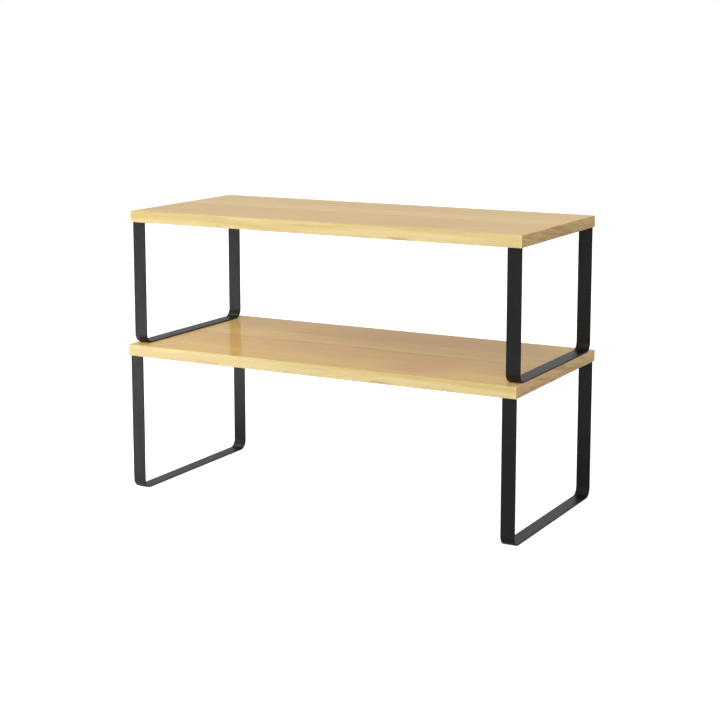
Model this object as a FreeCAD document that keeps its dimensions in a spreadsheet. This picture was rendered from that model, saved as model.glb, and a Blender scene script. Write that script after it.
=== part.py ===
import FreeCAD, Part

import os

import Sketcher

# A small desk hutch made of two shelf risers, the upper one standing on the lower one.
# Each riser is a wood-grain board on two legs of flat steel strip, each bent into a U.
#
# Frame: millimetres, +X along the boards to the right, +Y to the rear, +Z up.
# The origin is on the desk, under the middle of the stack.

SIZES = (
    # Boards
    ("board_length", 450.0),
    ("board_thickness", 12.0),
    ("lower_depth", 210.0),
    ("upper_depth", 194.0),
    ("band_thickness", 1.0),
    ("band_ease", 0.4),
    # Height of each riser, from the underside of its legs to the top of its board
    ("lower_height", 159.0),
    ("upper_height", 143.0),
    # Leg strip, and how far it stands in from the board's ends and from its long edges
    ("strip_width", 15.0),
    ("strip_thickness", 1.5),
    ("strip_ease", 0.25),
    ("leg_end_inset", 1.0),
    ("leg_face_inset", 3.5),
    ("foot_bend_radius", 10.0),
    # Screw tab at the top of each upright, let into the board's underside
    ("tab_bend_radius", 2.5),
    ("tab_length", 28.0),
    ("tab_width", 10.0),
    ("relief_width", 0.3),
    ("relief_depth", 1.5),
    ("recess_gap", 0.2),
    # Countersunk screws through the tabs
    ("screw_first", 10.0),
    ("screw_spacing", 11.0),
    ("screw_length", 10.0),
    ("screw_head_diameter", 6.6),
    ("screw_shank_diameter", 3.5),
    ("screw_hole_diameter", 3.8),
    ("screw_tip_length", 3.0),
    ("screw_tip_diameter", 0.6),
    ("drive_slot_length", 3.4),
    ("drive_slot_width", 0.8),
    ("drive_slot_depth", 1.2),
    ("head_gap", 0.05),
    ("pilot_gap", 0.02),
)

UNITS = ("lower", "upper")
SIDES = (("left", -1), ("right", 1))
ENDS = (("front", -1), ("rear", 1))
COUNTERSINK_ANGLE = 90.0

# The screws in one tab, counted from the upright
TAB_SCREWS = (0, 1)

# The middle of a leg strip, along the board from its centre
LEG_PLACE = "(sizes.board_length / 2 - sizes.leg_end_inset - sizes.strip_width / 2)"

doc = FreeCAD.newDocument("desk_hutch")
sheet = doc.addObject("Spreadsheet::Sheet", "sizes")
for row, (alias, millimetres) in enumerate(SIZES, start=1):
    sheet.set("A%d" % row, str(millimetres))
    sheet.setAlias("A%d" % row, alias)
doc.recompute()

sub_parts = []


def size(expression):
    """The value of an expression over the sheet's aliases, in millimetres."""
    return float(sheet.evalExpression(expression))


def near(value, target):
    """Whether two lengths are the same to a thousandth of a millimetre."""
    return abs(value - target) < 0.001


def unit_base(unit):
    """The level a riser stands on: the desk, or the top of the lower riser."""
    return "0" if unit == "lower" else "sizes.lower_height"


def underside(unit):
    """The underside of a riser's board, above the level the riser stands on."""
    return "(sizes.%s_height - sizes.board_thickness)" % unit


def board_base(unit):
    """The underside of a riser's board, above the desk."""
    return unit_base(unit) + " + " + underside(unit)


def leg_face(unit):
    """The outer face of a leg's uprights, from the middle of the riser."""
    return "(sizes.%s_depth / 2 - sizes.leg_face_inset)" % unit


def screw_place(unit, number):
    """A tab screw's distance from the middle of the riser; number 0 is nearest the upright."""
    return "(%s - sizes.screw_first - %d * sizes.screw_spacing)" % (leg_face(unit), number)


def new_body(label, place_x, place_y, place_z):
    """A body of its own for one sub-part, placed by three expressions."""
    body = doc.addObject("PartDesign::Body", label)
    body.Label = label
    for axis, expression in (("x", place_x), ("y", place_y), ("z", place_z)):
        body.setExpression("Placement.Base." + axis, expression)
    sub_parts.append(body)
    return body


def origin_feature(body, role):
    """One of a body's own origin planes or axes."""
    return [feature for feature in body.Origin.OriginFeatures if feature.Role == role][0]


def new_sketch(body, name, plane, offset=None):
    """A sketch on one of the body's own origin planes, raised by an expression."""
    sketch = body.newObject("Sketcher::SketchObject", body.Label + "_" + name)
    sketch.AttachmentSupport = [(origin_feature(body, plane), "")]
    sketch.MapMode = "FlatFace"
    if offset is not None:
        sketch.setExpression("AttachmentOffset.Base.z", offset)
    return sketch


def bind(sketch, constraint, name, expression):
    """Add a dimension to a sketch and bind it to an expression."""
    index = sketch.addConstraint(constraint)
    sketch.renameConstraint(index, name)
    sketch.setExpression("Constraints." + name, expression)


def draw_outline(sketch, sides, name="side"):
    """Draw a closed outline of upright and level sides.

    Each side is (direction, place, radius): the direction is "level" or "upright", the place is
    the expression of its fixed coordinate, and the radius is the expression of the rounding
    between this side and the next, or None for a sharp corner.
    """
    count = len(sides)
    places = [size(side[1]) for side in sides]

    def corner(index):
        before = sides[index][0]
        here, after = places[index], places[(index + 1) % count]
        return FreeCAD.Vector(after, here, 0) if before == "level" else FreeCAD.Vector(here, after, 0)

    corners = [corner(index) for index in range(count)]
    radii = [0.0 if side[2] is None else size(side[2]) for side in sides]
    lines = []
    for index, (direction, place, _) in enumerate(sides):
        start, end = corners[index - 1], corners[index]
        along = (end - start).normalize()
        line = Part.LineSegment(start + along * radii[index - 1], end - along * radii[index])
        lines.append(sketch.addGeometry(line, False))
        if direction == "level":
            sketch.addConstraint(Sketcher.Constraint("Horizontal", lines[-1]))
            kind, value = "DistanceY", start.y
        else:
            sketch.addConstraint(Sketcher.Constraint("Vertical", lines[-1]))
            kind, value = "DistanceX", start.x
        bind(sketch, Sketcher.Constraint(kind, -1, 1, lines[-1], 1, value), "%s_%d" % (name, index), place)
    for index in range(count):
        first, second = lines[index], lines[(index + 1) % count]
        if sides[index][2] is None:
            sketch.addConstraint(Sketcher.Constraint("Coincident", first, 2, second, 1))
            continue
        start = sketch.Geometry[first].EndPoint
        end = sketch.Geometry[second].StartPoint
        centre = start + end - corners[index]
        middle = centre + (corners[index] - centre).normalize() * radii[index]
        arc = sketch.addGeometry(Part.Arc(start, middle, end), False)
        turns_left = (corners[index] - start).cross(end - corners[index]).z > 0
        arc_start, arc_end = (1, 2) if turns_left else (2, 1)
        sketch.addConstraint(Sketcher.Constraint("Tangent", first, 2, arc, arc_start))
        sketch.addConstraint(Sketcher.Constraint("Tangent", arc, arc_end, second, 1))
        radius = Sketcher.Constraint("Radius", arc, radii[index])
        bind(sketch, radius, "%s_%d_radius" % (name, index), sides[index][2])


def draw_rectangle(sketch, left, right, bottom, top, name="side"):
    """A closed rectangle whose four sides are placed by expressions."""
    sides = (
        ("level", bottom, None),
        ("upright", right, None),
        ("level", top, None),
        ("upright", left, None),
    )
    draw_outline(sketch, sides, name)


def draw_circle(sketch, centre_x, centre_y, diameter, name):
    """A circle whose centre and diameter are set by expressions."""
    centre = FreeCAD.Vector(size(centre_x), size(centre_y), 0)
    circle = Part.Circle(centre, FreeCAD.Vector(0, 0, 1), size(diameter) / 2)
    index = sketch.addGeometry(circle, False)
    for kind, value, place in (("DistanceX", centre.x, centre_x), ("DistanceY", centre.y, centre_y)):
        distance = Sketcher.Constraint(kind, -1, 1, index, 3, value)
        bind(sketch, distance, name + "_" + kind[-1], place)
    bind(sketch, Sketcher.Constraint("Diameter", index, circle.Radius * 2), name + "_diameter", diameter)


def draw_polygon(sketch, corners):
    """A closed polygon whose corners are placed by pairs of expressions."""
    points = [FreeCAD.Vector(size(across), size(up), 0) for across, up in corners]
    lines = [
        sketch.addGeometry(Part.LineSegment(points[index], points[(index + 1) % len(points)]), False)
        for index in range(len(points))
    ]
    for index, (across, up) in enumerate(corners):
        point = points[index]
        following = lines[(index + 1) % len(lines)]
        sketch.addConstraint(Sketcher.Constraint("Coincident", lines[index], 2, following, 1))
        for kind, value, place in (("DistanceX", point.x, across), ("DistanceY", point.y, up)):
            distance = Sketcher.Constraint(kind, -1, 1, lines[index], 1, value)
            bind(sketch, distance, "corner_%d_%s" % (index, kind[-1]), place)


def add_pad(body, sketch, length, symmetric=False):
    """Pad a sketch along its normal, or half to each side of it."""
    pad = body.newObject("PartDesign::Pad", sketch.Name + "_pad")
    pad.Profile = sketch
    pad.setExpression("Length", length)
    pad.SideType = "Symmetric" if symmetric else "One side"
    return pad


def add_pocket(body, sketch, depth, symmetric=False):
    """Cut a sketch upward (+Z) into the body, or half to each side of it, and check that it cuts."""
    doc.recompute()
    volume_before = body.Shape.Volume
    pocket = body.newObject("PartDesign::Pocket", sketch.Name + "_pocket")
    pocket.Profile = sketch
    pocket.setExpression("Length", depth)
    pocket.SideType = "Symmetric" if symmetric else "One side"
    pocket.Reversed = not symmetric
    doc.recompute()
    if body.Shape.Volume > volume_before - 0.01:
        raise RuntimeError(pocket.Name + " cuts nothing")
    return pocket


def add_fillet(body, chosen, radius):
    """Round the edges of the body's tip that the test chosen(edge) picks."""
    doc.recompute()
    tip = body.Tip
    names = ["Edge%d" % (i + 1) for i, edge in enumerate(tip.Shape.Edges) if chosen(edge)]
    fillet = body.newObject("PartDesign::Fillet", body.Label + "_rounding")
    fillet.Base = (tip, names)
    fillet.setExpression("Radius", radius)
    return fillet


def make_board(unit):
    """The faced board without its bands, with a recess and two pilot holes for each screw tab."""
    body = new_body(unit + "_board_panel", "0", "0", board_base(unit))
    half_length = "(sizes.board_length / 2 - sizes.band_thickness)"
    half_depth = "(sizes.%s_depth / 2 - sizes.band_thickness)" % unit
    outline = new_sketch(body, "outline", "XY_Plane")
    draw_rectangle(outline, "-" + half_length, half_length, "-" + half_depth, half_depth)
    add_pad(body, outline, "sizes.board_thickness")

    recesses = new_sketch(body, "recesses", "XY_Plane")
    pilots = new_sketch(body, "pilots", "XY_Plane")
    half_width = "(sizes.tab_width / 2 + sizes.recess_gap)"
    inner_end = "(%s - sizes.tab_length - sizes.recess_gap)" % leg_face(unit)
    outer_end = "(%s + sizes.recess_gap)" % leg_face(unit)
    pilot_diameter = "sizes.screw_shank_diameter + 2 * sizes.pilot_gap"
    for side, x_sign in SIDES:
        for end, y_sign in ENDS:
            name = side + "_" + end
            middle = "%d * %s" % (x_sign, LEG_PLACE)
            left = middle + " - " + half_width
            right = middle + " + " + half_width
            inner, outer = ["%d * %s" % (y_sign, place) for place in (inner_end, outer_end)]
            bottom, top = (inner, outer) if end == "rear" else (outer, inner)
            draw_rectangle(recesses, left, right, bottom, top, name)
            for number in TAB_SCREWS:
                place = "%d * %s" % (y_sign, screw_place(unit, number))
                draw_circle(pilots, middle, place, pilot_diameter, "%s_%d" % (name, number))
    add_pocket(body, recesses, "sizes.strip_thickness")
    add_pocket(body, pilots, "sizes.screw_length + sizes.pilot_gap")


def make_long_band(unit, end, y_sign):
    """The band along the front or rear edge of a board, as long as the board itself."""
    place_y = "%d * (sizes.%s_depth - sizes.band_thickness) / 2" % (y_sign, unit)
    body = new_body("%s_%s_edge_band" % (unit, end), "0", place_y, board_base(unit))
    half_length = "sizes.board_length / 2"
    half_band = "sizes.band_thickness / 2"
    outline = new_sketch(body, "outline", "XY_Plane")
    draw_rectangle(outline, "-" + half_length, half_length, "-" + half_band, half_band)
    add_pad(body, outline, "sizes.board_thickness")
    glued_face = -y_sign * size(half_band)

    def is_outside(edge):
        box = edge.BoundBox
        return not (near(box.YMin, glued_face) and near(box.YMax, glued_face))

    add_fillet(body, is_outside, "sizes.band_ease")


def make_short_band(unit, side, x_sign):
    """The band on one end of a board, between the front and rear bands."""
    place_x = "%d * (sizes.board_length - sizes.band_thickness) / 2" % x_sign
    body = new_body("%s_%s_edge_band" % (unit, side), place_x, "0", board_base(unit))
    half_depth = "(sizes.%s_depth / 2 - sizes.band_thickness)" % unit
    half_band = "sizes.band_thickness / 2"
    outline = new_sketch(body, "outline", "XY_Plane")
    draw_rectangle(outline, "-" + half_band, half_band, "-" + half_depth, half_depth)
    add_pad(body, outline, "sizes.board_thickness")
    outer_face = x_sign * size(half_band)

    def is_long_and_outside(edge):
        box = edge.BoundBox
        return near(box.XMin, outer_face) and near(box.XMax, outer_face) and near(box.ZLength, 0)

    add_fillet(body, is_long_and_outside, "sizes.band_ease")


def is_strip_corner(edge):
    """Whether an edge is one of those that run along the bent strip, before it is mirrored."""
    box = edge.BoundBox
    on_side = near(abs(box.XMin), size("sizes.strip_width") / 2) and near(box.XLength, 0)
    is_top_end = near(box.ZLength, 0) and near(box.YLength, size("sizes.strip_thickness"))
    is_mirror_end = near(box.YMax, 0)
    return on_side and not is_top_end and not is_mirror_end


def make_leg(unit, side, x_sign):
    """One leg frame: a flat strip bent into a U, with a screw tab turned in at each top end.

    Its rear half is made first, and the whole of it is mirrored to the front.
    """
    place_x = "%d * %s" % (x_sign, LEG_PLACE)
    body = new_body("%s_%s_leg_frame" % (unit, side), place_x, "0", unit_base(unit))
    outer_face = leg_face(unit)
    inner_face = "(%s - sizes.strip_thickness)" % outer_face
    top = underside(unit)

    strip = new_sketch(body, "strip", "YZ_Plane")
    strip_sides = (
        ("level", "0", "sizes.foot_bend_radius"),
        ("upright", outer_face, None),
        ("level", top, None),
        ("upright", inner_face, "sizes.foot_bend_radius - sizes.strip_thickness"),
        ("level", "sizes.strip_thickness", None),
        ("upright", "0", None),
    )
    draw_outline(strip, strip_sides)
    add_pad(body, strip, "sizes.strip_width", symmetric=True)
    add_fillet(body, is_strip_corner, "sizes.strip_ease")

    notch = new_sketch(body, "notch", "YZ_Plane")
    notch_floor = "(%s - sizes.relief_depth)" % top
    notch_inside = inner_face + " - sizes.strip_thickness"
    notch_outside = outer_face + " + sizes.strip_thickness"
    draw_rectangle(notch, notch_inside, notch_outside, notch_floor, top + " + sizes.strip_thickness")
    add_pocket(body, notch, "sizes.tab_width + 2 * sizes.relief_width", symmetric=True)

    tab = new_sketch(body, "tab", "YZ_Plane")
    tab_sides = (
        ("level", notch_floor, None),
        ("upright", outer_face, "sizes.tab_bend_radius"),
        ("level", top + " + sizes.strip_thickness", None),
        ("upright", "(%s - sizes.tab_length)" % outer_face, None),
        ("level", top, "sizes.tab_bend_radius - sizes.strip_thickness"),
        ("upright", inner_face, None),
    )
    draw_outline(tab, tab_sides)
    add_pad(body, tab, "sizes.tab_width", symmetric=True)

    holes = new_sketch(body, "screw_holes", "XY_Plane", top)
    for number in TAB_SCREWS:
        draw_circle(holes, "0", screw_place(unit, number), "sizes.screw_hole_diameter", "hole_%d" % number)
    doc.recompute()
    volume_before = body.Shape.Volume
    hole = body.newObject("PartDesign::Hole", holes.Name + "_countersunk")
    hole.Profile = holes
    hole.Reversed = True
    hole.DepthType = "Dimension"
    hole.DrillPoint = "Flat"
    hole.setExpression("Depth", "2 * sizes.strip_thickness")
    hole.setExpression("Diameter", "sizes.screw_hole_diameter")
    hole.HoleCutType = "Countersink"
    hole.HoleCutCountersinkAngle = COUNTERSINK_ANGLE
    hole.setExpression("HoleCutDiameter", "sizes.screw_head_diameter + 2 * sizes.head_gap")
    doc.recompute()
    if body.Shape.Volume > volume_before - 1.0:
        raise RuntimeError(hole.Name + " cuts nothing")

    mirrored = body.newObject("PartDesign::Mirrored", body.Label + "_mirrored")
    mirrored.TransformMode = "Whole shape"
    mirrored.MirrorPlane = (origin_feature(body, "XZ_Plane"), [""])
    body.Tip = mirrored


def make_screws(unit, side, x_sign):
    """Four countersunk screws for one leg frame: one is made, then patterned and mirrored.

    The thread is left plain, at its crest diameter.
    """
    place_x = "%d * %s" % (x_sign, LEG_PLACE)
    body = new_body("%s_%s_leg_screws" % (unit, side), place_x, "0", board_base(unit))
    middle = screw_place(unit, TAB_SCREWS[-1])
    shank_side = middle + " + sizes.screw_shank_diameter / 2"
    profile = new_sketch(body, "profile", "YZ_Plane")
    profile_corners = (
        (middle, "0"),
        (middle + " + sizes.screw_head_diameter / 2", "0"),
        (shank_side, "(sizes.screw_head_diameter - sizes.screw_shank_diameter) / 2"),
        (shank_side, "sizes.screw_length - sizes.screw_tip_length"),
        (middle + " + sizes.screw_tip_diameter / 2", "sizes.screw_length"),
        (middle, "sizes.screw_length"),
    )
    draw_polygon(profile, profile_corners)
    turned = body.newObject("PartDesign::Revolution", body.Label + "_turned")
    turned.Profile = profile
    turned.ReferenceAxis = (profile, ["Edge%d" % len(profile_corners)])
    turned.Angle = 360.0

    made = [turned]
    half_long = "sizes.drive_slot_length / 2"
    half_wide = "sizes.drive_slot_width / 2"
    for name, across, along in (("slot", half_long, half_wide), ("cross_slot", half_wide, half_long)):
        slot = new_sketch(body, name, "XY_Plane")
        draw_rectangle(slot, "-" + across, across, middle + " - " + along, middle + " + " + along)
        made.append(add_pocket(body, slot, "sizes.drive_slot_depth"))

    row = body.newObject("PartDesign::MultiTransform", body.Label + "_set")
    spaced = body.newObject("PartDesign::LinearPattern", body.Label + "_spaced")
    spaced.Direction = (origin_feature(body, "Y_Axis"), [""])
    spaced.Mode = "Extent"
    spaced.Occurrences = len(TAB_SCREWS)
    spaced.setExpression("Length", "sizes.screw_spacing")
    mirrored = body.newObject("PartDesign::Mirrored", body.Label + "_mirrored")
    mirrored.MirrorPlane = (origin_feature(body, "XZ_Plane"), [""])
    row.Originals = made
    row.Transformations = [spaced, mirrored]
    body.Tip = row


for unit in UNITS:
    make_board(unit)
    for end, y_sign in ENDS:
        make_long_band(unit, end, y_sign)
    for side, x_sign in SIDES:
        make_short_band(unit, side, x_sign)
        make_leg(unit, side, x_sign)
        make_screws(unit, side, x_sign)
doc.recompute()

for item in doc.Objects:
    if "Invalid" in item.State or "Error" in item.State:
        raise RuntimeError(item.Name + " did not compute: " + ", ".join(item.State))
for body in sub_parts:
    if body.Shape.isNull() or not body.Shape.isValid():
        raise RuntimeError(body.Label + " has no valid shape")

os.makedirs("parts", exist_ok=True)
for body in sub_parts:
    body.Shape.exportStep("parts/" + body.Label + ".step")
    print("%-26s solids %d  volume %10.2f" % (body.Label, len(body.Shape.Solids), body.Shape.Volume))
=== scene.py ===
import math

import bmesh
import bpy
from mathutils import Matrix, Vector


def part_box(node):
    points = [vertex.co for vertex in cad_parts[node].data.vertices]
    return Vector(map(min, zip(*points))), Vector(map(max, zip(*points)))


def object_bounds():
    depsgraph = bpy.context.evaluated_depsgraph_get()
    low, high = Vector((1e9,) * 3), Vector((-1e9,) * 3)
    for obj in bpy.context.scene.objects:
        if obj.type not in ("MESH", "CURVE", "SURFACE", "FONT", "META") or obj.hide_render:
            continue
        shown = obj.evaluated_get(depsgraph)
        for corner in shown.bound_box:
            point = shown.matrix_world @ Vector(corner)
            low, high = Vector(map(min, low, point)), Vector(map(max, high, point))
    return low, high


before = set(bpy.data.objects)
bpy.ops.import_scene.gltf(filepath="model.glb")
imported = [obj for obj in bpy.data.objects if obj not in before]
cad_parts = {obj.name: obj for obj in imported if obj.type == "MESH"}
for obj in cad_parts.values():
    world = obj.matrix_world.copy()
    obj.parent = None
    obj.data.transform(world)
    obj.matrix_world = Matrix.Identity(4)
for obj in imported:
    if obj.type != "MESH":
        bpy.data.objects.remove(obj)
cad_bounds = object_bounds()
centre = (cad_bounds[0] + cad_bounds[1]) / 2

UNITS = ("lower", "upper")
SIDES = ("left", "right")
ENDS = ("front", "rear")


# ---------------------------------------------------------------------------------------------
# Shader building blocks
# ---------------------------------------------------------------------------------------------

class Shader:
    """The node tree of a material or world, with short calls for the nodes it uses."""

    def __init__(self, owner):
        owner.use_nodes = True
        self.owner = owner
        self.tree = owner.node_tree
        self.tree.nodes.clear()

    def node(self, kind, inputs=(), **settings):
        """Add a node; each input is (socket, value or another node's output)."""
        node = self.tree.nodes.new(kind)
        for key, value in settings.items():
            setattr(node, key, value)
        for socket, value in inputs:
            if isinstance(value, bpy.types.NodeSocket):
                self.tree.links.new(value, node.inputs[socket])
            else:
                node.inputs[socket].default_value = value
        return node

    def maths(self, operation, first, second):
        return self.node("ShaderNodeMath", ((0, first), (1, second)), operation=operation).outputs[0]

    def place(self):
        """The place on the object, in metres, as separate X, Y and Z."""
        coordinates = self.node("ShaderNodeTexCoord").outputs["Object"]
        split = self.node("ShaderNodeSeparateXYZ", ((0, coordinates),))
        return split.outputs[0], split.outputs[1], split.outputs[2]

    def stretched(self, place, scales):
        """A place multiplied by one scale for each axis, per metre."""
        scaled = [self.maths("MULTIPLY", value, scale) for value, scale in zip(place, scales)]
        return self.node("ShaderNodeCombineXYZ", tuple(enumerate(scaled))).outputs[0]

    def noise(self, place, scales, detail=2.0, roughness=0.5, distortion=0.0):
        """Noise from 0 to 1, with about as many features to the metre as its scales say."""
        inputs = (
            ("Vector", self.stretched(place, scales)),
            ("Scale", 1.0),
            ("Detail", detail),
            ("Roughness", roughness),
            ("Distortion", distortion),
        )
        return self.node("ShaderNodeTexNoise", inputs).outputs[0]

    def waver(self, place, scales, reach):
        """Noise centred on zero, from about -reach / 2 to reach / 2."""
        return self.maths("MULTIPLY", self.maths("SUBTRACT", self.noise(place, scales), 0.5), reach)

    def between(self, value, low, high, low_out=0.0, high_out=1.0, smooth=True):
        """Map a value from one range to another, holding at both ends."""
        inputs = ((0, value), (1, low), (2, high), (3, low_out), (4, high_out))
        kind = "SMOOTHSTEP" if smooth else "LINEAR"
        return self.node("ShaderNodeMapRange", inputs, interpolation_type=kind).outputs[0]

    def hump(self, value, low, high, edge):
        """1 between low and high, falling smoothly to 0 over edge on each side."""
        rise = self.between(value, low - edge, low + edge)
        fall = self.between(value, high - edge, high + edge, 1.0, 0.0)
        return self.maths("MULTIPLY", rise, fall)

    def ramp(self, value, stops):
        """A colour that changes with a value, from (place, colour) stops."""
        node = self.node("ShaderNodeValToRGB", ((0, value),))
        ramp = node.color_ramp
        ramp.interpolation = "EASE"
        while len(ramp.elements) < len(stops):
            ramp.elements.new(0.5)
        for element, (place, colour) in zip(ramp.elements, stops):
            element.position = place
            element.color = colour
        return node.outputs[0]

    def tint(self, colour, other, amount):
        """Blend a colour towards another by an amount."""
        inputs = ((0, amount), (6, colour), (7, other))
        return self.node("ShaderNodeMix", inputs, data_type="RGBA", blend_type="MIX").outputs[2]

    def stain(self, colour, other, along, across, area, edges):
        """Tint one soft-edged area, given by its limits along and across and its strength."""
        start, end, first, last, strength = area
        spot = self.maths(
            "MULTIPLY", self.hump(along, start, end, edges[0]), self.hump(across, first, last, edges[1])
        )
        return self.tint(colour, other, self.maths("MULTIPLY", spot, strength))

    def shade(self, colour, factor):
        """Multiply a colour by a grey factor."""
        grey = self.node("ShaderNodeCombineColor", ((0, factor), (1, factor), (2, factor))).outputs[0]
        inputs = ((0, 1.0), (6, colour), (7, grey))
        return self.node("ShaderNodeMix", inputs, data_type="RGBA", blend_type="MULTIPLY").outputs[2]

    def bump(self, height, strength, distance):
        inputs = (("Height", height), ("Strength", strength), ("Distance", distance))
        return self.node("ShaderNodeBump", inputs).outputs[0]

    def principled(self, inputs):
        return self.node("ShaderNodeBsdfPrincipled", inputs).outputs[0]

    def close(self, surface):
        """Send a surface to the material's output and return the material."""
        self.node("ShaderNodeOutputMaterial", ((0, surface),))
        return self.owner


def rgb(red, green, blue):
    """A linear colour from the 0 to 255 values of a colour chart."""
    def linear(value):
        part = value / 255
        return part / 12.92 if part <= 0.04045 else ((part + 0.055) / 1.055) ** 2.4
    return (linear(red), linear(green), linear(blue), 1.0)


# ---------------------------------------------------------------------------------------------
# Wood
# ---------------------------------------------------------------------------------------------

# Noise scales per metre: along the grain, across it and through the thickness
GRAIN_DRIFT = (5.0, 14.0, 14.0)
FINE_FIBRES = (22.0, 1500.0, 1500.0)
BROAD_FIBRES = (7.0, 320.0, 320.0)
GROWTH_RINGS = (2.6, 95.0, 95.0)
PORES = (260.0, 4200.0, 4200.0)
BOARD_WAVER = (9.0, 30.0, 30.0)
BAND_WAVER = (60.0, 200.0, 200.0)
END_STREAKS = (24.0, 60.0, 260.0)

DRIFT_REACH = 0.02
BOARD_WAVER_REACH = 0.10
BAND_WAVER_REACH = 0.30

# The clear varnish, over a matt base
VARNISH = 0.60
VARNISH_IOR = 1.50
BOARD_VARNISH_ROUGHNESS = 0.16
BAND_VARNISH_ROUGHNESS = 0.25
FIBRE_BUMP = 0.00010

BOARD_REAR = rgb(215, 182, 121)
BOARD_LIGHT = rgb(220, 190, 126)
BOARD_FRONT = rgb(214, 178, 115)
# Painted light: a lighter, yellower colour at the front of the boards, where more light falls
BOARD_PAINTED_FRONT_LIGHT = rgb(228, 193, 118)
BOARD_PINK = rgb(212, 168, 110)
BOARD_GROWTH = rgb(209, 170, 107)
PORE_BROWN = rgb(150, 108, 58)

# Colour across each board's depth, from the rear edge (0) to the front edge (1); the last stop is painted
# light, brightening the board towards its front edge
BOARD_STOPS = {
    "upper": (
        (0.0, BOARD_REAR),
        (0.28, BOARD_REAR),
        (0.35, BOARD_LIGHT),
        (0.46, BOARD_LIGHT),
        (0.52, BOARD_FRONT),
        (0.90, BOARD_FRONT),
        (0.97, BOARD_PAINTED_FRONT_LIGHT),
    ),
    "lower": (
        (0.0, BOARD_REAR),
        (0.28, BOARD_REAR),
        (0.35, BOARD_LIGHT),
        (0.47, BOARD_LIGHT),
        (0.53, BOARD_FRONT),
        (0.62, BOARD_FRONT),
        (0.95, BOARD_PAINTED_FRONT_LIGHT),
    ),
}

# Pinker patches on both boards: left and right limits, rear and front limits, strength
BOARD_PATCHES = (
    (0.66, 0.80, 0.55, 0.92, 0.9),
    (0.18, 0.34, 0.54, 0.80, 0.35),
    (0.36, 0.72, 0.12, 0.28, 0.35),
)
PATCH_EDGES = (0.07, 0.06)

# Thin dark growth lines on each board, given in the same way
BOARD_STREAKS = {
    "upper": (
        (0.20, 0.62, 0.500, 0.515, 0.16),
        (0.48, 0.90, 0.300, 0.312, 0.14),
        (0.30, 0.50, 0.150, 0.170, 0.14),
    ),
    "lower": (
        (0.12, 0.85, 0.520, 0.542, 0.26),
        (0.22, 0.56, 0.300, 0.315, 0.20),
        (0.50, 0.88, 0.700, 0.712, 0.14),
    ),
}
STREAK_EDGES = (0.09, 0.010)

FRONT_WOOD = rgb(229, 208, 150)
FRONT_GROWTH = rgb(213, 184, 114)
FRONT_MARK = rgb(196, 138, 74)
FRONT_OLIVE = rgb(190, 172, 100)
END_WOOD = rgb(219, 186, 130)
END_GROWTH = rgb(202, 166, 108)
END_MARK = rgb(186, 146, 92)

# Small marks on the front and rear bands: left and right limits, lower and upper limits, strength
BAND_MARKS = {
    "upper": (
        (0.69, 0.735, 0.08, 0.20, 0.85),
        (0.23, 0.27, 0.12, 0.24, 0.35),
        (0.60, 0.64, 0.02, 0.12, 0.30),
    ),
    "lower": (
        (0.655, 0.70, 0.06, 0.17, 0.80),
        (0.20, 0.25, 0.10, 0.20, 0.30),
        (0.42, 0.47, 0.03, 0.12, 0.30),
    ),
}
MARK_EDGES = (0.02, 0.10)
OLIVE_MARK = (0.45, 0.55, 0.60, 0.74, 0.45)
OLIVE_EDGES = (0.03, 0.08)

END_SLANT = 0.18
# Painted shade: the lowest tenth of each band's height is darker, as if in shade under its lower edge
PAINTED_SHADE_HEIGHT = 0.10
PAINTED_BOTTOM_SHADE = 0.86
# Painted highlight: the last half-percent of each band's length at both ends is lighter, standing in for
# light caught by the rounded corners
CORNER_HIGHLIGHT_WIDTH = 0.005
PAINTED_CORNER_HIGHLIGHT = 1.10


def wood_grain(shader, along, across, through):
    """The grain that every wood face shares: fibres, growth rings and pores.

    along runs with the fibres. Returns (fibres, growth, pores), each from about 0 to 1.
    """
    wander = shader.waver((along, across, through), GRAIN_DRIFT, DRIFT_REACH)
    place = (along, shader.maths("ADD", across, wander), shader.maths("ADD", through, wander))
    fine = shader.noise(place, FINE_FIBRES, detail=3.0, roughness=0.6)
    broad = shader.noise(place, BROAD_FIBRES, detail=3.0)
    fibres = shader.maths("ADD", shader.maths("MULTIPLY", fine, 0.45), shader.maths("MULTIPLY", broad, 0.55))
    growth = shader.between(shader.noise(place, GROWTH_RINGS, distortion=0.3), 0.36, 0.66)
    pores = shader.between(shader.noise(place, PORES, detail=1.0), 0.66, 0.76)
    return fibres, growth, pores


def varnished(shader, colour, fibres, varnish_roughness, normal):
    """Close a wood material: a matt base, slightly smoother on pale fibres, under clear varnish."""
    return shader.close(shader.principled((
        ("Base Color", colour),
        ("Roughness", shader.between(fibres, 0.3, 0.7, 0.5, 0.4, smooth=False)),
        ("Specular IOR Level", 0.0),
        ("Coat Weight", VARNISH),
        ("Coat Roughness", varnish_roughness),
        ("Coat IOR", VARNISH_IOR),
        ("Normal", normal),
    )))


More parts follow.
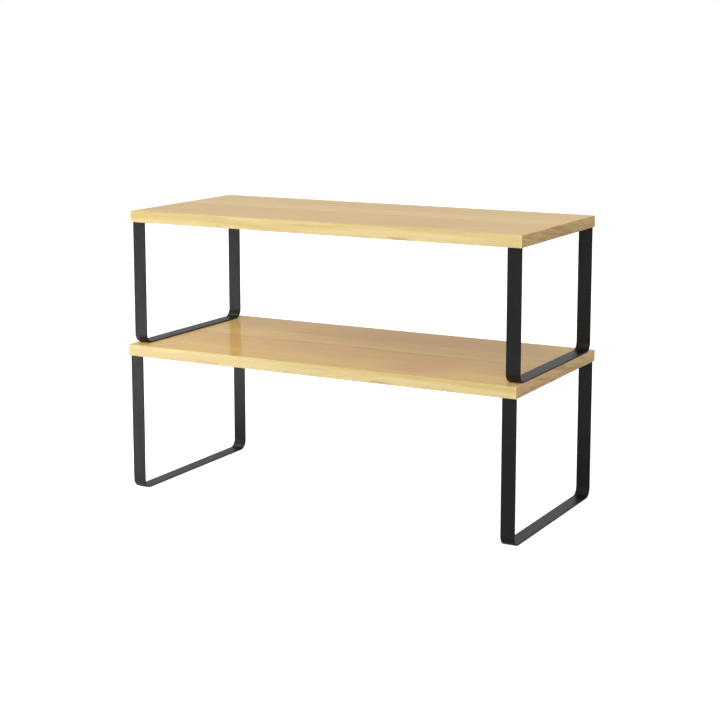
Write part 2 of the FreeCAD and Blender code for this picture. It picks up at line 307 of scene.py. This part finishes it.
def make_board_wood(unit):
    """The satin wood-grain facing of one board, with the grain along X and painted light brightening it
    towards the front edge.
    """
    shader = Shader(bpy.data.materials.new(unit + "_board_wood"))
    x, y, z = shader.place()
    low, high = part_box(unit + "_board_panel")
    across = shader.between(y, high.y, low.y, smooth=False)
    along = shader.between(x, low.x, high.x, smooth=False)
    fibres, growth, pores = wood_grain(shader, x, y, z)

    row = shader.maths("ADD", across, shader.waver((x, y, z), BOARD_WAVER, BOARD_WAVER_REACH))
    # The ramp ends in painted light, lighter towards the front edge
    colour = shader.ramp(row, BOARD_STOPS[unit])
    for patch in BOARD_PATCHES:
        colour = shader.stain(colour, BOARD_PINK, along, row, patch, PATCH_EDGES)
    for streak in BOARD_STREAKS[unit]:
        colour = shader.stain(colour, PORE_BROWN, along, row, streak, STREAK_EDGES)
    colour = shader.tint(colour, BOARD_GROWTH, shader.maths("MULTIPLY", growth, 0.42))
    colour = shader.shade(colour, shader.between(fibres, 0.30, 0.70, 0.93, 1.06, smooth=False))
    colour = shader.tint(colour, PORE_BROWN, shader.maths("MULTIPLY", pores, 0.28))

    height = shader.maths("SUBTRACT", fibres, shader.maths("MULTIPLY", pores, 0.6))
    normal = shader.bump(height, 0.10, FIBRE_BUMP)
    return varnished(shader, colour, fibres, BOARD_VARNISH_ROUGHNESS, normal)


def front_band_figure(shader, unit, colour, place, run, up):
    """The small brown marks and one olive mark on a front or rear band."""
    row = shader.maths("ADD", up, shader.waver(place, BAND_WAVER, BAND_WAVER_REACH))
    for mark in BAND_MARKS[unit]:
        colour = shader.stain(colour, FRONT_MARK, run, row, mark, MARK_EDGES)
    return shader.stain(colour, FRONT_OLIVE, run, row, OLIVE_MARK, OLIVE_EDGES)


def end_band_figure(shader, colour, x, y, z):
    """The slanting brown streaks on a left or right band."""
    slant = shader.maths("ADD", z, shader.maths("MULTIPLY", y, END_SLANT))
    streak = shader.noise((y, x, slant), END_STREAKS, roughness=0.6)
    return shader.tint(colour, END_MARK, shader.between(streak, 0.46, 0.68, 0.0, 0.75))


def make_band_wood(unit, name):
    """The wood-grain edge band on one side of a board, with the grain along its length, painted shade along
    its lower edge and painted highlights at its ends.
    """
    shader = Shader(bpy.data.materials.new("%s_%s_band_wood" % (unit, name)))
    x, y, z = shader.place()
    low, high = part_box("%s_%s_edge_band" % (unit, name))
    up = shader.between(z, low.z, high.z, smooth=False)
    if name in ENDS:
        run = shader.between(x, low.x, high.x, smooth=False)
        fibres, growth, pores = wood_grain(shader, x, y, z)
        colour = shader.tint(FRONT_WOOD, FRONT_GROWTH, shader.maths("MULTIPLY", growth, 0.70))
        colour = front_band_figure(shader, unit, colour, (x, y, z), run, up)
    else:
        run = shader.between(y, low.y, high.y, smooth=False)
        fibres, growth, pores = wood_grain(shader, y, x, z)
        colour = shader.tint(END_WOOD, END_GROWTH, shader.maths("MULTIPLY", growth, 0.70))
        colour = end_band_figure(shader, colour, x, y, z)
    colour = shader.shade(colour, shader.between(fibres, 0.30, 0.70, 0.92, 1.07, smooth=False))
    colour = shader.tint(colour, PORE_BROWN, shader.maths("MULTIPLY", pores, 0.22))
    # Painted shade, darker towards the band's lower edge
    colour = shader.shade(colour, shader.between(up, 0.0, PAINTED_SHADE_HEIGHT, PAINTED_BOTTOM_SHADE, 1.0))
    # Painted highlight at both ends of the band, lighter where the rounded corners would catch light
    corner = shader.hump(run, CORNER_HIGHLIGHT_WIDTH, 1.0 - CORNER_HIGHLIGHT_WIDTH, CORNER_HIGHLIGHT_WIDTH / 2)
    colour = shader.shade(colour, shader.between(corner, 0.0, 1.0, PAINTED_CORNER_HIGHLIGHT, 1.0))
    normal = shader.bump(fibres, 0.12, FIBRE_BUMP)
    return varnished(shader, colour, fibres, BAND_VARNISH_ROUGHNESS, normal)


# ---------------------------------------------------------------------------------------------
# Metal
# ---------------------------------------------------------------------------------------------

# Noise scales per metre
COAT_PEEL = (640.0, 640.0, 640.0)
COAT_GRIT = (3800.0, 3800.0, 3800.0)
COAT_CLOUD = (24.0, 24.0, 24.0)
TURNING_MARKS = (2600.0, 2600.0, 900.0)

COAT_DARK = (0.0045, 0.0045, 0.005, 1.0)
COAT_LIGHT = (0.007, 0.007, 0.0075, 1.0)
COAT_SPECULAR = 0.36
COAT_BUMP = 0.00010
SCREW_DARK = rgb(38, 37, 36)
SCREW_LIGHT = rgb(78, 76, 72)
SCREW_BUMP = 0.00003


def make_powder_coat():
    """Black fine-texture powder coat on steel strip."""
    shader = Shader(bpy.data.materials.new("black_powder_coat"))
    place = shader.place()
    peel = shader.noise(place, COAT_PEEL)
    grit = shader.noise(place, COAT_GRIT, detail=1.0)
    cloud = shader.noise(place, COAT_CLOUD, detail=3.0)
    colour = shader.tint(COAT_DARK, COAT_LIGHT, shader.between(cloud, 0.35, 0.65))
    colour = shader.shade(colour, shader.between(grit, 0.35, 0.65, 0.85, 1.2))
    height = shader.maths("ADD", peel, shader.maths("MULTIPLY", grit, 0.5))
    return shader.close(shader.principled((
        ("Base Color", colour),
        ("Roughness", shader.between(peel, 0.3, 0.7, 0.31, 0.39)),
        ("Specular IOR Level", COAT_SPECULAR),
        ("IOR", 1.50),
        ("Normal", shader.bump(height, 0.40, COAT_BUMP)),
    )))


def make_screw_steel():
    """Black-plated screw steel with fine turning marks."""
    shader = Shader(bpy.data.materials.new("black_screw_steel"))
    grain = shader.noise(shader.place(), TURNING_MARKS, detail=3.0)
    return shader.close(shader.principled((
        ("Base Color", shader.tint(SCREW_DARK, SCREW_LIGHT, shader.between(grain, 0.35, 0.7))),
        ("Metallic", 1.0),
        ("Roughness", shader.between(grain, 0.3, 0.7, 0.30, 0.48)),
        ("Normal", shader.bump(grain, 0.2, SCREW_BUMP)),
    )))


def dress(node_name, material):
    """Give a CAD node one material all over."""
    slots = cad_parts[node_name].data.materials
    slots.clear()
    slots.append(material)


powder_coat = make_powder_coat()
screw_steel = make_screw_steel()
for unit in UNITS:
    dress(unit + "_board_panel", make_board_wood(unit))
    for name in ENDS + SIDES:
        dress("%s_%s_edge_band" % (unit, name), make_band_wood(unit, name))
    for side in SIDES:
        dress("%s_%s_leg_frame" % (unit, side), powder_coat)
        dress("%s_%s_leg_screws" % (unit, side), screw_steel)


# ---------------------------------------------------------------------------------------------
# Stage, light and camera
# ---------------------------------------------------------------------------------------------

# Places round the object are (azimuth, elevation, distance from its centre). Azimuth 0 is in
# front and 90 is on the left, in degrees, and the distance is in metres.
CAMERA_FROM = (-28.480, 11.249, 1.76095)
CAMERA_HEADING = 28.468
CAMERA_PITCH = 8.956
CAMERA_LENS = 82.76
CAMERA_SENSOR = 36.0
CAMERA_RISE = -0.10

# Soft rectangular lights that face the centre: name, place, width and height, power in watts
SOFT_LIGHTS = (
    ("key", (-12.0, 44.0, 5.0), (3.4, 3.4), 154.0),
    ("left_side", (92.0, 38.0, 5.0), (2.2, 2.2), 84.0),
    ("rear_side", (184.0, 44.0, 5.0), (2.6, 2.2), 48.0),
    ("right_fill", (-54.0, 15.0, 3.0), (1.4, 1.2), 11.5),
    ("low_strip", (47.0, 7.0, 5.0), (2.0, 1.1), 27.0),
)

# Spots on the floor at the front left, which the black legs mirror: name, place and aim in
# metres, cone in degrees, power in watts
FLOOR_SPOTS = (
    ("floor_wash", (-1.4, -1.8, 1.8), (-0.69, -0.67, 0.0), 22.0, 1480.0),
    ("floor_wash_rear", (-2.0, -0.5, 1.2), (-0.45, -0.16, 0.0), 11.0, 880.0),
)
SPOT_SOFTNESS = 0.1

FLOOR_HALF = 12.0
FLOOR_DROP = 0.0002
FLOOR_GREY = (0.50, 0.50, 0.50, 1.0)
FLOOR_GLOW = 0.88
WHITE = (1.0, 1.0, 1.0, 1.0)
AMBIENT_LIGHT = (0.35, 0.35, 0.35, 1.0)
BACKDROP_LIGHT = (0.54, 0.55, 0.57, 1.0)


def from_centre(azimuth, elevation, distance):
    """A place round the object, as described above."""
    turn = math.radians(azimuth)
    lift = math.radians(elevation)
    level = distance * math.cos(lift)
    return centre + Vector((-level * math.sin(turn), -level * math.cos(turn), distance * math.sin(lift)))


def make_floor():
    """A plain floor, which the camera sees white from above and clear from underneath."""
    mesh = bpy.data.meshes.new("floor")
    outline = bmesh.new()
    height = cad_bounds[0].z - FLOOR_DROP
    corners = [
        outline.verts.new((x * FLOOR_HALF, y * FLOOR_HALF, height))
        for x, y in ((-1, -1), (1, -1), (1, 1), (-1, 1))
    ]
    outline.faces.new(corners)
    outline.to_mesh(mesh)
    outline.free()
    floor = bpy.data.objects.new("floor", mesh)
    bpy.context.scene.collection.objects.link(floor)

    shader = Shader(bpy.data.materials.new("floor_white"))
    sight = shader.node("ShaderNodeLightPath").outputs["Is Camera Ray"]
    surface = shader.principled((
        ("Base Color", FLOOR_GREY),
        ("Roughness", 0.9),
        ("Specular IOR Level", 0.0),
        ("Emission Color", WHITE),
        ("Emission Strength", shader.maths("MULTIPLY", sight, FLOOR_GLOW)),
    ))
    underside = shader.node("ShaderNodeNewGeometry").outputs["Backfacing"]
    clear = shader.node("ShaderNodeBsdfTransparent").outputs[0]
    floor.data.materials.append(shader.close(
        shader.node("ShaderNodeMixShader", ((0, underside), (1, surface), (2, clear))).outputs[0]
    ))


def make_world():
    """Even studio light with a brighter backdrop low behind the object, all seen as white."""
    world = bpy.data.worlds.new("studio")
    bpy.context.scene.world = world
    shader = Shader(world)
    direction = shader.node("ShaderNodeTexCoord").outputs["Generated"]
    split = shader.node("ShaderNodeSeparateXYZ", ((0, direction),))
    heading = math.radians(CAMERA_HEADING)
    beyond = shader.maths(
        "ADD",
        shader.maths("MULTIPLY", split.outputs[0], -math.sin(heading)),
        shader.maths("MULTIPLY", split.outputs[1], math.cos(heading)),
    )
    behind = shader.between(beyond, 0.35, 0.80)
    low = shader.between(split.outputs[2], 0.25, 0.65, 1.0, 0.0)
    light = shader.tint(AMBIENT_LIGHT, BACKDROP_LIGHT, shader.maths("MULTIPLY", behind, low))
    sight = shader.node("ShaderNodeLightPath").outputs["Is Camera Ray"]
    light = shader.tint(light, WHITE, sight)
    background = shader.node("ShaderNodeBackground", ((0, light), (1, 1.0)))
    shader.node("ShaderNodeOutputWorld", ((0, background.outputs[0]),))


def hang_light(name, data, place, aim):
    """Put a light at a place, facing a point and out of the camera's sight."""
    light = bpy.data.objects.new(name, data)
    bpy.context.scene.collection.objects.link(light)
    light.visible_camera = False
    light.location = place
    light.rotation_euler = (Vector(aim) - Vector(place)).to_track_quat("-Z", "Y").to_euler()


def add_soft_light(name, place, size, power):
    data = bpy.data.lights.new(name, "AREA")
    data.shape = "RECTANGLE"
    data.size, data.size_y = size
    data.energy = power
    hang_light(name, data, from_centre(*place), centre)


def add_floor_spot(name, place, aim, cone, power):
    data = bpy.data.lights.new(name, "SPOT")
    data.spot_size = math.radians(cone)
    data.spot_blend = 1.0
    data.shadow_soft_size = SPOT_SOFTNESS
    data.energy = power
    hang_light(name, data, place, aim)


def add_camera():
    """The camera, turned by its heading about Z and tipped down by its pitch, in degrees."""
    data = bpy.data.cameras.new("camera")
    data.lens = CAMERA_LENS
    data.sensor_width = CAMERA_SENSOR
    data.shift_y = CAMERA_RISE
    camera = bpy.data.objects.new("camera", data)
    camera.location = from_centre(*CAMERA_FROM)
    camera.rotation_euler = (math.radians(90.0 - CAMERA_PITCH), 0.0, math.radians(CAMERA_HEADING))
    bpy.context.scene.collection.objects.link(camera)
    bpy.context.scene.camera = camera


make_floor()
make_world()
for soft_light in SOFT_LIGHTS:
    add_soft_light(*soft_light)
for floor_spot in FLOOR_SPOTS:
    add_floor_spot(*floor_spot)
add_camera()
bpy.context.scene.view_settings.view_transform = "Standard"
